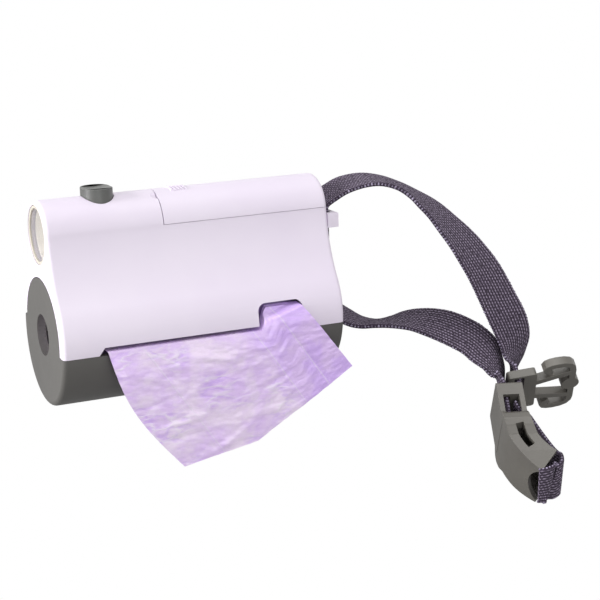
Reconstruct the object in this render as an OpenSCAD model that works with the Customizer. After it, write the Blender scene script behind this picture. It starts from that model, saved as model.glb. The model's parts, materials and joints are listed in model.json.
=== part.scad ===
// Dog poop bag dispenser with a torch: a bag barrel, a torch tube above it and
// a webbing strap with a side-release buckle. Millimetres. The origin is on the
// axis of the barrel at mid-length. +X runs to the strap end, -Y to the front
// where the bags come out, +Z up to the button.

/* [Body] */
// Outer radius of the bag barrel
bag_r = 21; // [20.5:0.5:23]
// Outer radius of the torch tube
tube_r = 10.4; // [10.2:0.1:11]
// Height of the torch axis above the barrel axis
axis_gap = 32; // [31:0.5:35]
// Radius of the concave flanks between barrel and tube
flank_r = 45; // [35:1:60]
// Thickness of the moulded walls
wall = 1.8; // [1.6:0.1:2]
// Thickness of the end walls and of the door's end disc
end_wall = 2.4; // [2:0.1:2.8]
// Rounding of the end edges
edge_r = 1.5; // [0.8:0.1:2]

/* [Bag door] */
// Height of the parting edge at the front
seam_front = -2.5; // [-3.5:0.5:-1.5]
// Height of the parting edge at the back
seam_back = 4; // [3:0.5:4.5]
// Radius of the round end disc
disc_r = 17.6; // [17:0.1:18]
// Height of the roll's axis above the barrel axis
roll_y = 1; // [0:0.5:1.5]
// Radius of the finger hole in the end disc
finger_hole_r = 6.4; // [5:0.1:7.5]
// Radius of the hinge knuckles
knuckle_r = 2.1; // [1.9:0.1:2.3]
// Radius of the hinge pin
hinge_pin_r = 0.8; // [0.6:0.1:1]
// Number of hinge knuckles
knuckle_n = 5; // [3:2:7]
// Height of the snap lip inside the front edge
lip_h = 1.6; // [1.2:0.1:2]
// Thickness of the snap lip
lip_t = 1; // [0.8:0.1:1.2]

/* [Bag slot] */
// Start of the slot from the lens end
slot_start = 13; // [12:0.5:15]
// End of the slot from the lens end
slot_end = 77.8; // [76:0.2:79]
// Height of the slot above the front parting edge
slot_h = 2.4; // [2.2:0.1:3]
// Length of the thumb window along the slot
window_l = 15; // [12:0.5:18]
// Height of the thumb window above the front parting edge
window_h = 9.3; // [8:0.1:10]
// Corner radius of the thumb window
window_r = 2.6; // [1:0.1:3]
// Length of the slanted start of the slot
slot_ramp = 2.2; // [1:0.1:3]

/* [Torch] */
// Radius of the torch window
lens_r = 8.9; // [8.5:0.1:9]
// Thickness of the torch window
lens_t = 1.2; // [1:0.1:1.6]
// Depth of the torch window behind the end face
lens_set = 0.8; // [0.5:0.1:1.2]
// Depth of the reflector bowl
bowl_d = 10; // [8:0.5:11]
// Radius of the reflector at the lamp
bowl_back_r = 2.4; // [2:0.1:3]
// Thickness of the reflector
bowl_t = 0.8; // [0.7:0.1:1]
// Thickness of the circuit boards
board_t = 1.2; // [1:0.1:1.6]
// Distance of the battery bay's front wall from the lens end
bay_start = 30; // [29.5:0.5:31]
// Thickness of the battery bay's front wall
bay_wall = 1.6; // [1.2:0.1:1.8]

/* [Button] */
// Distance of the button from the lens end
button_x = 19.6; // [19:0.1:20.5]
// Width of the oval button along the tube
button_w = 9.2; // [8.8:0.1:9.6]
// Length of the oval button across the tube
button_l = 11.6; // [11:0.1:12]
// Height of the button above the tube
button_h = 2.4; // [1.8:0.1:3]
// Travel of the button
button_travel = 0.8; // [0.6:0.1:0.9]
// Radius of the dish in the button's top
dish_r = 24; // [20:1:40]

/* [Battery] */
// Length of the AA cell with its nub
cell_l = 50.5; // [50:0.1:50.6]
// Radius of the AA cell
cell_r = 7.25; // [7.1:0.05:7.3]
// Room for the contact spring behind the cell
spring_room = 6.95; // [5:0.05:9]
// Start of the battery cover from the lens end
cover_start = 37; // [36:0.5:39]
// Height of the cover's lower edge above the torch axis
cover_seam = 0.8; // [0.4:0.1:1.2]
// Number of thumb ridges on the cover
ridge_n = 5; // [3:1:7]
// Distance between thumb ridges
ridge_pitch = 1.15; // [1:0.05:1.4]
// Height of the thumb ridges
ridge_h = 0.35; // [0.2:0.05:0.5]

/* [Bag roll] */
// Width of the rolled bags
bag_w = 64; // [60:1:66]
// Radius of the roll
roll_r = 14.3; // [12:0.1:14.6]
// Outer radius of the tube inside the roll
core_r = 6.6; // [6:0.1:7.5]
// Wall of the tube inside the roll
core_wall = 1; // [0.8:0.1:1.4]
// Radius of the spindle's head
head_r = 9.4; // [8.5:0.1:10]
// Thickness of the bag film solid
film_t = 0.8; // [0.6:0.1:1]

/* [Strap] */
// Width of the webbing
web_w = 15; // [14:0.5:16]
// Thickness of the webbing
web_t = 1.4; // [1.2:0.1:1.8]
// Width of the bridge's bar up the end face
bridge_h = 4.5; // [4:0.5:6]
// Thickness of the bridge's bar
bridge_t = 1.5; // [1.2:0.1:2]

/* [Buckle] */
// Width of the female half's body
buckle_w = 24.8; // [24:0.2:27]
// Width of the female half's rear frame
frame_w = 18.8; // [18.4:0.2:20]
// Thickness of the female half
female_t = 8.4; // [8.2:0.2:10]
// Radius of the bend of the female half's body
bend_r = 23; // [22:1:30]
// Angle of that bend
bend_a = 50; // [40:1:54]
// Depth of the scooped rim of the mouth
scoop_l = 4; // [2:0.5:5]
// Wall of the female half
buckle_wall = 1.6; // [1.4:0.1:1.8]
// Width of the male half's base
base_w = 18; // [17.6:0.2:20]
// Length of the male half's base
base_l = 9.7; // [9:0.1:11]
// Thickness of the male half's arms
male_t = 3; // [2.6:0.2:3.6]
// Width of the male half's bars and hooks
bar_w = 2.1; // [1.8:0.1:2.4]

/* [Fits] */
// Gap between parts that are assembled
fit_gap = 0.25; // [0.15:0.05:0.3]
// Radial clearance of running fits
run_gap = 0.08; // [0.05:0.01:0.1]

/* [Hidden] */

$fn = 96;
eps = 0.01;
past = 1;                                   // how far cutters run past a face
lilac = [0.92, 0.89, 0.95];
grey = [0.36, 0.355, 0.345];
steel = [0.75, 0.76, 0.78];
webbing = [0.36, 0.32, 0.42];

plate_t = 0.4;                              // positive contact
cell_gap = 0.15;                            // between that contact and the cell's nub
body_l = bay_start + bay_wall + plate_t + cell_gap + cell_l + spring_room + end_wall;
x0 = -body_l / 2;                           // lens end
x1 = body_l / 2;                            // strap end
bag_in = bag_r - wall;                      // inner radius of the barrel
tube_in = tube_r - wall;                    // inner radius of the tube
part_tilt = atan((seam_back - seam_front) / (2 * bag_r));
part_z = (seam_back + seam_front) / 2;      // height of the parting plane over the axis
big = 2 * (bag_r + axis_gap);

// centre of the circle that touches barrel and tube outside, and bites into both a little
flank_bite = 0.04;
flank_low = flank_r + bag_r - flank_bite;
flank_high = flank_r + tube_r - flank_bite;
flank_z = (pow(flank_low, 2) - pow(flank_high, 2) + pow(axis_gap, 2)) / (2 * axis_gap);
flank_y = sqrt(pow(flank_low, 2) - pow(flank_z, 2));
touch_low = (bag_r - 2 * flank_bite) / flank_low;
touch_high = (tube_r - 2 * flank_bite) / flank_high;

// hinge at the back edge
hinge_y = bag_r - wall + 0.2;
hinge_z = seam_back + 0.2;
relief_r = knuckle_r + 0.3;
hinge_l = body_l - 2 * end_wall;
knuckle_pitch = hinge_l / knuckle_n;
knuckle_gap = 0.3;

// torch stack, measured from the lens end
bowl_start = lens_set + lens_t + 0.1;
lamp_x = bowl_start + bowl_d;
axis_z = axis_gap;
tube_top = axis_z + tube_r;
board_z = axis_z + 0.6;                     // top face of the switch board
switch_h = 2.6;
switch_a = 4.6;
switch_floor = 0.5;
plunger_r = 1.2;
plunger_top = board_z + switch_h + 1;
plunger_l = switch_h + 1 - switch_floor - button_travel - 0.2;
button_foot = axis_z + 5.9;                 // underside of the button's oval
button_top = tube_top + button_h;
spring_wire = 0.25;
spring_r = 3.9;

// battery bay
bay_x = x0 + bay_start + bay_wall;          // front face of the bay
cell_x = bay_x + plate_t + cell_gap;        // tip of the nub
bay_end = x1 - end_wall;
cover_z = axis_z + cover_seam;
ridge_t = 0.5;                              // width of one thumb ridge

// roll
roll_x = x0 + (slot_start + slot_end) / 2 - bag_w / 2;
disc_boss = 0.4;                            // boss round the finger hole, behind the disc
head_x = x0 + end_wall + disc_boss + 0.6;   // face of the spindle's head
spindle_r = core_r - core_wall - run_gap;
socket_l = 6;
socket_t = 2.4;

// hanging bag: distances from the lens end and depths below the barrel axis
film_lie = bag_r + 0.4;                     // inner face of the hanging part
film_low_x = 35.4;                          // lowest corner
film_low = 40.3;
film_mid_x = 60.3;
film_mid = 36;
film_tip_x = 93.6;                          // corner towards the strap
film_tip = 16.4;

// strap bridge on the end face
web_gap = 0.4;
bridge_x = x1 + web_t + 2 * web_gap;        // inner face of the bar
bridge_z = axis_z - 5.9;                    // lower edge of the bar
bridge_half = web_w / 2 + 0.6;
leg_t = 2.4;
web_x = x1 + web_gap + web_t / 2;           // middle of the webbing under the bar
thread_low = 25;                            // where the webbing's free stretches begin
thread_high = 31;

// buckle
slot_w = web_w + 1.2;
block_l = 5;                                // rear block of the female half
neck_l = 13;                                // end of its pocket
strap_t = 1.2;                              // webbing's place in the block, off the middle
mouth_w = buckle_w - 7.4;
cross_x = base_l + 12.1;                    // middle of the male half's cross-piece
male_at = [98.6, -31.2, -30.6];
male_turn = [129, -6.6, -17.4];
female_at = [95.3, -36.7, -31.1];
female_turn = [90, 38, -111];

// Routes of the webbing: [x, y, z of its middle, x, y, z of its width direction]
upper_route = [
    [47.1, 0.0, 31.0, 0.0, 1.0, 0.0], [47.1, 0.0, 31.9, 0.0, 1.0, 0.0],
    [48.1, 0.0, 33.2, 0.05, 1.0, 0.05], [51.5, -0.5, 35.4, 0.2, 0.95, 0.15],
    [56.0, -1.8, 37.8, 0.25, 0.95, 0.15],
    [62.0, -3.4, 39.0, 0.36, 0.93, 0.1], [67.5, -5.2, 38.6, 0.45, 0.89, 0.0],
    [72.7, -7.6, 36.7, 0.5, 0.87, -0.06], [77.0, -9.8, 33.8, 0.56, 0.82, -0.04],
    [80.0, -11.8, 31.1, 0.64, 0.77, 0.02], [83.2, -13.9, 27.8, 0.7, 0.7, 0.06],
    [86.3, -16.3, 23.6, 0.77, 0.62, 0.1], [89.3, -18.5, 19.4, 0.83, 0.54, 0.14],
    [92.0, -20.4, 15.0, 0.87, 0.45, 0.16], [96.2, -22.8, 7.4, 0.93, 0.32, 0.14],
    [100.5, -25.2, -2.8, 0.96, 0.24, 0.13], [103.2, -26.2, -9.0, 0.97, 0.22, 0.1],
    [105.0, -26.5, -14.6, 0.94, 0.34, 0.02], [105.0, -26.2, -19.2, 0.82, 0.5, -0.2],
    [104.2, -26.4, -22.8, 0.55, 0.58, -0.55], [103.3, -27.6, -25.6, 0.27, 0.57, -0.77],
    [102.7, -30.0, -28.0, 0.27, 0.57, -0.77], [102.1, -33.0, -30.6, 0.27, 0.57, -0.77]
];
lower_route = [
    [47.1, 0.0, 25.0, 0.0, 1.0, 0.0], [47.1, 0.0, 18.0, 0.0, 1.0, 0.0],
    [47.2, 0.0, 11.0, 0.0, 1.0, 0.0], [47.8, 0.0, 4.6, 0.05, 1.0, 0.0],
    [49.6, -0.6, -0.4, 0.2, 0.97, 0.1], [52.4, -1.6, -3.6, 0.36, 0.92, 0.16],
    [56.2, -3.0, -6.2, 0.44, 0.89, 0.08], [60.0, -4.8, -7.9, 0.45, 0.89, -0.04],
    [64.0, -7.0, -8.3, 0.47, 0.87, -0.12], [68.2, -9.2, -7.9, 0.44, 0.89, -0.05],
    [72.0, -11.2, -7.4, 0.43, 0.9, 0.1], [75.8, -13.2, -7.5, 0.48, 0.84, 0.24],
    [79.6, -15.6, -8.2, 0.56, 0.74, 0.36], [83.4, -18.3, -9.4, 0.62, 0.65, 0.44],
    [87.0, -21.3, -11.2, 0.7, 0.57, 0.44], [90.4, -24.4, -13.6, 0.78, 0.5, 0.38],
    [93.0, -27.2, -16.8, 0.83, 0.47, 0.3], [95.0, -29.0, -20.2, 0.8, 0.57, 0.0],
    [96.2, -29.9, -23.4, 0.72, 0.62, -0.22], [96.3, -30.9, -26.5, 0.5, 0.6, -0.55],
    [95.5, -33.0, -28.5, 0.3, 0.58, -0.75], [94.5, -35.4, -30.4, 0.22, 0.57, -0.79],
    [93.5, -38.1, -32.6, 0.22, 0.57, -0.79], [91.2, -44.0, -37.6, 0.22, 0.57, -0.79]
];
tail_route = [
    [94.8, -42.1, -35.2, 0.22, 0.57, -0.79], [94.8, -43.6, -36.3, 0.22, 0.57, -0.79],
    [95.5, -45.2, -37.3, 0.22, 0.57, -0.79], [96.5, -47.3, -38.5, 0.22, 0.57, -0.79],
    [96.8, -49.5, -40, 0.22, 0.57, -0.79], [97.2, -52.6, -42.2, 0.22, 0.57, -0.79],
    [97.7, -56.2, -44.6, 0.22, 0.57, -0.79], [98.3, -59, -46.5, 0.22, 0.57, -0.79],
    [99, -61.3, -48, 0.2, 0.5, -0.85], [99, -63, -49.3, 0.17, 0.36, -0.92],
    [97.3, -64.1, -50.5, 0.12, 0.2, -0.97], [95.1, -64.7, -51.6, 0.12, 0.2, -0.97],
    [92.7, -65.2, -52.6, 0.12, 0.2, -0.97]
];

// ---------- helpers ----------

// A profile in (Y, Z) drawn out along X
module along(a, b) {
    translate([a, 0, 0]) rotate([90, 0, 90]) linear_extrude(b - a) children();
}

// A rod along X about the axis (y, z)
module rod(a, b, r, y = 0, z = 0) {
    translate([a, y, z]) rotate([0, 90, 0]) cylinder(h = b - a, r = r);
}

// A rod along X with both end edges rounded
module soft_rod(a, b, r, e, y = 0, z = 0) {
    translate([a, y, z]) rotate([0, 90, 0]) rotate_extrude() {
        square([r - e, b - a]);
        translate([0, e]) square([r, b - a - 2 * e]);
        for (h = [e, b - a - e]) translate([r - e, h]) circle(r = e, $fn = 32);
    }
}

// Everything above (or below) the parting plane, with the plane shifted by d
module above_parting(d = 0) {
    translate([x0 - past, 0, part_z + d]) rotate([part_tilt, 0, 0])
        translate([0, -big, 0]) cube([body_l + 2 * past, 2 * big, big]);
}
module below_parting(d = 0) {
    translate([x0 - past, 0, part_z + d]) rotate([part_tilt, 0, 0])
        translate([0, -big, -big]) cube([body_l + 2 * past, 2 * big, big]);
}

// Cutter for one flank: a drum whose ends flare to round the web's end edges
module flank_drum(side) {
    translate([x0, side * flank_y, flank_z]) rotate([0, 90, 0]) rotate_extrude($fn = 240)
        difference() {
            square([flank_r + edge_r, body_l]);
            translate([flank_r + edge_r, edge_r]) circle(r = edge_r, $fn = 32);
            translate([flank_r, edge_r]) square([2 * edge_r, body_l - 2 * edge_r]);
            translate([flank_r + edge_r, body_l - edge_r]) circle(r = edge_r, $fn = 32);
        }
}

// The whole outer form: barrel, tube and the web with concave flanks
module body_form() {
    low = [flank_y * touch_low, flank_z * touch_low];
    high = [flank_y * touch_high, axis_gap + (flank_z - axis_gap) * touch_high];
    soft_rod(x0, x1, bag_r, edge_r);
    soft_rod(x0, x1, tube_r, edge_r, 0, axis_z);
    difference() {
        along(x0, x1) polygon([[-low[0], low[1]], [low[0], low[1]], high, [-high[0], high[1]]]);
        flank_drum(1);
        flank_drum(-1);
    }
}

// A stadium-shaped block: width w along X, length l along Y
module oval(w, l, h) {
    for (s = [-1, 1]) translate([0, s * (l - w) / 2, 0]) cylinder(h = h, r = w / 2);
    translate([-w / 2, -(l - w) / 2, 0]) cube([w, l - w, h]);
}

function unit(v) = v / norm(v);

// One wire wound into a helix about Z, as one closed tube
module coil(r, wire, h, turns) {
    sides = 6;
    steps = 16 * turns;
    pts = [for (i = [0 : steps], k = [0 : sides - 1])
        let (a = 360 * turns * i / steps, b = 360 * k / sides, q = r + wire * cos(b))
        [q * cos(a), q * sin(a), wire + (h - 2 * wire) * i / steps + wire * sin(b)]];
    walls = [for (i = [0 : steps - 1], k = [0 : sides - 1])
        let (n = (k + 1) % sides)
        each [[i * sides + k, (i + 1) * sides + k, (i + 1) * sides + n],
              [i * sides + k, (i + 1) * sides + n, i * sides + n]]];
    first = [for (k = [1 : sides - 2]) [0, k, k + 1]];
    last = [for (k = [1 : sides - 2]) [steps * sides, steps * sides + k + 1, steps * sides + k]];
    polyhedron(pts, concat(walls, first, last));
}

// Flat webbing swept along a route, with eight-sided cross-section
module ribbon(route, w, t) {
    n = len(route);
    edge = t * 0.3;
    shape = [[-w / 2, -edge], [-w / 2 + edge, -t / 2], [w / 2 - edge, -t / 2], [w / 2, -edge],
             [w / 2, edge], [w / 2 - edge, t / 2], [-w / 2 + edge, t / 2], [-w / 2, edge]];
    place = [for (q = route) [q[0], q[1], q[2]]];
    pts = [for (i = [0 : n - 1])
        let (run = unit(place[min(i + 1, n - 1)] - place[max(i - 1, 0)]),
             lean = [route[i][3], route[i][4], route[i][5]],
             across = unit(lean - run * (lean * run)),
             up = cross(run, across))
        each [for (s = shape) place[i] + across * s[0] + up * s[1]]];
    walls = [for (i = [0 : n - 2], k = [0 : 7])
        let (m = (k + 1) % 8)
        each [[i * 8 + k, (i + 1) * 8 + m, (i + 1) * 8 + k], [i * 8 + k, i * 8 + m, (i + 1) * 8 + m]]];
    first = [for (k = [1 : 6]) [0, k + 1, k]];
    last = [for (k = [1 : 6]) [(n - 1) * 8, (n - 1) * 8 + k, (n - 1) * 8 + k + 1]];
    polyhedron(pts, concat(walls, first, last));
}

// ---------- housing ----------

module knuckles(first) {
    for (i = [first : 2 : knuckle_n - 1]) {
        from = x0 + end_wall + i * knuckle_pitch;
        rod(from + knuckle_gap / 2, from + knuckle_pitch - knuckle_gap / 2, knuckle_r, hinge_y, hinge_z);
    }
}

module slot_cutter() {
    window_start = slot_end - window_l;
    top = seam_front + slot_h;
    high = seam_front + window_h;
    translate([x0, 0, 0]) rotate([90, 0, 0]) linear_extrude(big) {
        polygon([
            [slot_start - slot_ramp, -big / 4], [slot_start - slot_ramp, seam_front - 0.6],
            [slot_start, top], [slot_end, top], [slot_end, -big / 4]
        ]);
        translate([window_start, -big / 4]) square([window_l, high + big / 4 - window_r]);
        translate([window_start + window_r, 0]) square([window_l - 2 * window_r, high]);
        for (x = [window_start + window_r, slot_end - window_r])
            translate([x, high - window_r]) circle(r = window_r, $fn = 48);
    }
}

module housing_shell() {
    difference() {
        body_form();
        rod(x0 + end_wall, x1 - end_wall, bag_in);
        rod(x0 - past, x0 + end_wall + past, disc_r + fit_gap, 0, roll_y);
        below_parting();
        rod(x0 - past, x1 + past, relief_r, hinge_y, hinge_z);
        slot_cutter();
        // torch head
        rod(x0 - past, x0 + lens_set + lens_t, lens_r + fit_gap, 0, axis_z);
        rod(x0 - past, x0 + bay_start, tube_in, 0, axis_z);
        translate([x0 + button_x, 0, axis_z])
            oval(button_w + 2 * fit_gap, button_l + 2 * fit_gap, big);
        // battery bay, open under its cover
        rod(bay_x, bay_end, tube_in, 0, axis_z);
        translate([x0 + cover_start, -tube_r - past, cover_z])
            cube([body_l, 2 * (tube_r + past), big]);
        // nail notch in front of the cover
        translate([x0 + cover_start - 0.2, -5.4, axis_z + tube_r + 0.1]) sphere(r = 2.2, $fn = 48);
    }
}

module strap_bridge() {
    bar_x = bridge_x - x1;
    for (s = [-1, 1])
        translate([x1 - eps, s > 0 ? bridge_half : -bridge_half - leg_t, bridge_z])
            cube([bar_x + bridge_t, leg_t, bridge_h]);
    translate([bridge_x, -bridge_half, bridge_z]) cube([bridge_t, 2 * bridge_half, bridge_h]);
}

module housing() {
    color(lilac) difference() {
        union() {
            housing_shell();
            knuckles(1);
            // necks of the housing's knuckles
            for (i = [1 : 2 : knuckle_n - 1])
                along(x0 + end_wall + i * knuckle_pitch + knuckle_gap / 2,
                      x0 + end_wall + (i + 1) * knuckle_pitch - knuckle_gap / 2)
                    intersection() {
                        translate([hinge_y - 1.4, hinge_z]) square([2, relief_r + 0.6]);
                        circle(r = bag_r);
                    }
            strap_bridge();
            // socket of the spindle, rooted in the rear wall above the parting edge
            rod(x1 - end_wall - socket_l, x1 - end_wall - fit_gap, spindle_r + socket_t, 0, roll_y);
            intersection() {
                rod(x1 - end_wall - 2 * fit_gap, x1 - end_wall / 2, spindle_r + socket_t, 0, roll_y);
                above_parting();
            }
        }
        rod(x0 - past, x1 - end_wall - 0.6, hinge_pin_r + run_gap, hinge_y, hinge_z);
        rod(x1 - end_wall - socket_l - past, x1 - end_wall, spindle_r + run_gap, 0, roll_y);
    }
}

// ---------- bag door ----------

// Ring of wall between two radii, along the barrel
module barrel_ring(a, b, inner, outer) {
    difference() {
        rod(a, b, outer);
        rod(a - past, b + past, inner);
    }
}

// The lip stands up inside the housing and is rooted in the door's own wall
module door_lip(a, b) {
    inner = bag_in - fit_gap - lip_t;
    intersection() {
        union() {
            intersection() {
                barrel_ring(a, b, inner, bag_in - fit_gap);
                below_parting(lip_h);
            }
            intersection() {
                barrel_ring(a, b, inner, bag_in + wall / 2);
                below_parting(-fit_gap / 2);
            }
        }
        translate([x0, -big, seam_front - 4]) cube([body_l, big - bag_r / 2, big]);
    }
}

module bag_door() {
    color(grey) difference() {
        union() {
            difference() {
                intersection() {
                    soft_rod(x0, x1, bag_r, edge_r);
                    below_parting(-fit_gap / 2);
                }
                rod(x0 + end_wall, x1 - end_wall, bag_in);
                // room for the housing's knuckles
                for (i = [1 : 2 : knuckle_n - 1])
                    rod(x0 + end_wall + i * knuckle_pitch - knuckle_gap / 2,
                        x0 + end_wall + (i + 1) * knuckle_pitch + knuckle_gap / 2,
                        relief_r, hinge_y, hinge_z);
            }
            rod(x0, x0 + end_wall, disc_r, 0, roll_y);
            rod(x0 + end_wall - eps, x0 + end_wall + disc_boss, finger_hole_r + 1.6, 0, roll_y);
            knuckles(0);
            door_lip(x0 + end_wall + fit_gap, x0 + slot_start - slot_ramp - 1);
            door_lip(x0 + slot_end + 1, x1 - end_wall - fit_gap);
        }
        rod(x0 - past, x0 + end_wall + past, finger_hole_r, 0, roll_y);
        rod(x0 + end_wall - eps, x1 - end_wall - 0.6, hinge_pin_r + run_gap, hinge_y, hinge_z);
    }
}

module hinge_pin() {
    color(steel) rod(x0 + end_wall + 0.1, x1 - end_wall - 0.7, hinge_pin_r, hinge_y, hinge_z);
}

// ---------- battery cover ----------

module thumb_ridges() {
    half = 2.9;
    for (i = [0 : ridge_n - 1]) {
        from = x0 + cover_start + 5.4 + i * ridge_pitch;
        intersection() {
            difference() {
                rod(from, from + ridge_t, tube_r + ridge_h, 0, axis_z);
                rod(from - past, from + ridge_t + past, tube_r - wall / 2, 0, axis_z);
            }
            translate([x0, -half - 0.6, axis_z + tube_r / 2]) cube([body_l, 2 * half, big]);
        }
    }
}

// Wall of the cover's guide lips, from the height z_low up
module lip_wall(z_low, outer) {
    intersection() {
        difference() {
            rod(x0 + cover_start + 1.5, bay_end - 2, outer, 0, axis_z);
            rod(x0, x1, cell_r + 0.35, 0, axis_z);
        }
        translate([x0, -big / 2, z_low]) cube([body_l, big, cover_z + 1 - z_low]);
    }
}

module battery_cover() {
    color(lilac) difference() {
        union() {
            difference() {
                soft_rod(x0, x1, tube_r, edge_r, 0, axis_z);
                rod(x0 - past, bay_end, tube_in, 0, axis_z);
                translate([x0 - past, -big / 2, cover_z + fit_gap / 2 - big])
                    cube([body_l + 2 * past, big, big]);
            }
            thumb_ridges();
            lip_wall(cover_z - 2, tube_in - fit_gap);
            lip_wall(cover_z + fit_gap / 2, tube_in + wall / 2);
        }
        translate([x0 - past, -big / 2, 0]) cube([cover_start + fit_gap + past, big, big]);
    }
}

// ---------- torch ----------

module lens() {
    color([0.9, 0.92, 0.95, 0.5])
        rod(x0 + lens_set, x0 + lens_set + lens_t, lens_r, 0, axis_z);
}

module lens_ring() {
    color([0.84, 0.83, 0.8]) difference() {
        rod(x0 + lens_set - 0.6, x0 + lens_set - 0.05, lens_r + fit_gap / 2, 0, axis_z);
        rod(x0 - past, x0 + lens_set + past, lens_r - 0.8, 0, axis_z);
    }
}

// Radius of the reflector's parabola at the share u of its depth, 0 at the window
function bowl_at(r_front, u) = sqrt(pow(r_front, 2) - (pow(r_front, 2) - pow(bowl_back_r, 2)) * u);

module reflector() {
    out_r = tube_in - fit_gap;
    front_r = out_r - bowl_t;
    steps = 10;
    color([0.85, 0.84, 0.8])
        translate([x0 + bowl_start, 0, axis_z]) rotate([0, 90, 0]) rotate_extrude()
            polygon(concat(
                [[out_r, 0]],
                [for (i = [0 : steps]) [bowl_at(front_r, i / steps), bowl_d * i / steps]],
                [for (i = [steps : -1 : 1]) [bowl_at(front_r, i / steps) + bowl_t, bowl_d * i / steps]],
                [[out_r, 1]]
            ));
}

module led() {
    color([0.95, 0.92, 0.6]) {
        rod(x0 + lamp_x - 1.6, x0 + lamp_x + 0.1, 1.9, 0, axis_z);
        translate([x0 + lamp_x - 1.6, 0, axis_z]) sphere(r = 1.7, $fn = 32);
    }
}

module lamp_board() {
    color([0.2, 0.4, 0.25])
        rod(x0 + lamp_x + 0.1, x0 + lamp_x + 0.1 + board_t, tube_in - fit_gap, 0, axis_z);
}

module switch_board() {
    half = sqrt(pow(tube_in - fit_gap, 2) - pow(board_t, 2));
    from = x0 + lamp_x + 0.1 + board_t;
    color([0.2, 0.4, 0.25])
        translate([from, -half, board_z - board_t]) cube([x0 + bay_start - from, 2 * half, board_t]);
}

module switch() {
    color([0.15, 0.15, 0.16]) translate([x0 + button_x, 0, board_z]) difference() {
        translate([-switch_a / 2, -switch_a / 2, 0]) cube([switch_a, switch_a, switch_h]);
        translate([0, 0, switch_floor]) cylinder(h = switch_h, r = plunger_r + run_gap);
    }
}

module switch_plunger() {
    color([0.7, 0.2, 0.15]) translate([x0 + button_x, 0, plunger_top - plunger_l])
        cylinder(h = plunger_l, r = plunger_r);
}

module button_spring() {
    color(steel) translate([x0 + button_x, 0, board_z + 0.02])
        coil(spring_r, spring_wire, button_foot - board_z - 0.04, 4);
}

module torch_button() {
    color(grey) translate([x0 + button_x, 0, 0]) difference() {
        union() {
            translate([0, 0, button_foot]) oval(button_w, button_l, button_top - button_foot);
            translate([0, 0, plunger_top]) cylinder(h = button_foot - plunger_top + eps, r = 1.8);
            // ears that keep the button in its hole
            translate([-button_w / 2 - 1, -2.6, axis_z + 6.5]) cube([button_w + 2, 5.2, 1]);
        }
        translate([0, 0, button_top + dish_r - 0.6]) sphere(r = dish_r, $fn = 128);
    }
}

module battery() {
    nub = 1;
    color([0.2, 0.25, 0.3]) {
        rod(cell_x + nub, cell_x + cell_l, cell_r, 0, axis_z);
        rod(cell_x, cell_x + nub + eps, 2.7, 0, axis_z);
    }
}

module contact_plate() {
    color(steel) translate([bay_x + 0.05, -4, axis_z - 5]) cube([plate_t, 8, 10]);
}

module contact_spring() {
    from = cell_x + cell_l + 0.05;
    color(steel) translate([from, 0, axis_z]) rotate([0, 90, 0])
        coil(4, 0.35, bay_end - 0.05 - from, 4);
}

// ---------- bag roll ----------

module roll_spindle() {
    color([0.88, 0.86, 0.9]) {
        rod(head_x, roll_x - 0.4, head_r, 0, roll_y);
        rod(roll_x - 0.4 - eps, x1 - end_wall - 0.3, spindle_r, 0, roll_y);
    }
}

module roll_core() {
    color([0.8, 0.78, 0.75]) difference() {
        rod(roll_x, roll_x + bag_w, core_r, 0, roll_y);
        rod(roll_x - past, roll_x + bag_w + past, core_r - core_wall, 0, roll_y);
    }
}

module bag_roll() {
    color([0.8, 0.7, 0.92]) difference() {
        rod(roll_x, roll_x + bag_w, roll_r, 0, roll_y);
        rod(roll_x - past, roll_x + bag_w + past, core_r + 0.03, 0, roll_y);
    }
}

// The hanging bag: a thin slab through the slot and down in front of the door
module bag_film() {
    top = seam_front + slot_h - 0.8;
    from = x0 + slot_start + 0.6;
    to = x0 + slot_end - 0.4;
    reach = film_lie + film_t - roll_r - 1.2;
    color([0.78, 0.66, 0.92]) intersection() {
        union() {
            translate([from, -film_lie - film_t, top - film_t]) cube([to - from, reach, film_t]);
            translate([from, -film_lie - film_t, top - big]) cube([body_l, film_t, big]);
        }
        translate([0, -bag_r - 4, 0]) rotate([-90, 0, 0]) linear_extrude(bag_r)
            polygon([
                [from, seam_front - top], [x0 + film_low_x, film_low], [x0 + film_mid_x, film_mid],
                [x0 + film_tip_x, film_tip], [to, -top], [to, -bag_r], [from, -bag_r]
            ]);
    }
}

// ---------- strap ----------

module strap_threading() {
    color(webbing) translate([web_x - web_t / 2, -web_w / 2, thread_low])
        cube([web_t, web_w, thread_high - thread_low]);
}

module strap_upper() {
    color(webbing) ribbon(upper_route, web_w, web_t);
}

module strap_lower() {
    color(webbing) ribbon(lower_route, web_w, web_t);
}

module strap_tail() {
    color(webbing) ribbon(tail_route, web_w, web_t);
}

// ---------- buckle ----------
// Both halves are drawn flat: length along +X, width along Y, thickness along Z.

module plate(l, w, h, r) {
    hull() for (x = [r, l - r], y = [-w / 2 + r, w / 2 - r]) translate([x, y, 0]) cylinder(h = h, r = r, $fn = 32);
}

// A flat bar of width w along a path, with round ends
module stroke(path, w) {
    n = len(path) - 1;
    run = [for (i = [0 : n]) unit(path[min(i + 1, n)] - path[max(i - 1, 0)])];
    side = [for (d = run) [-d[1], d[0]] * w / 2];
    polygon(concat([for (i = [0 : n]) path[i] + side[i]], [for (i = [n : -1 : 0]) path[i] - side[i]]));
    for (p = [path[0], path[n]]) translate(p) circle(d = w, $fn = 32);
}

// The body of the female half is bent: points on an arc of radius r about the bend's centre
function bend_arc(r, from, to) = [for (i = [0 : 16])
    let (a = from + (to - from) * i / 16) [neck_l + r * sin(a), r * cos(a) - bend_r]];

// Bent slab of thickness t and width w between two angles of the bend
module bend(t, from, to, w) {
    rotate([90, 0, 0]) linear_extrude(w, center = true)
        polygon(concat(bend_arc(bend_r + t / 2, from, to), bend_arc(bend_r - t / 2, to, from)));
}

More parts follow.
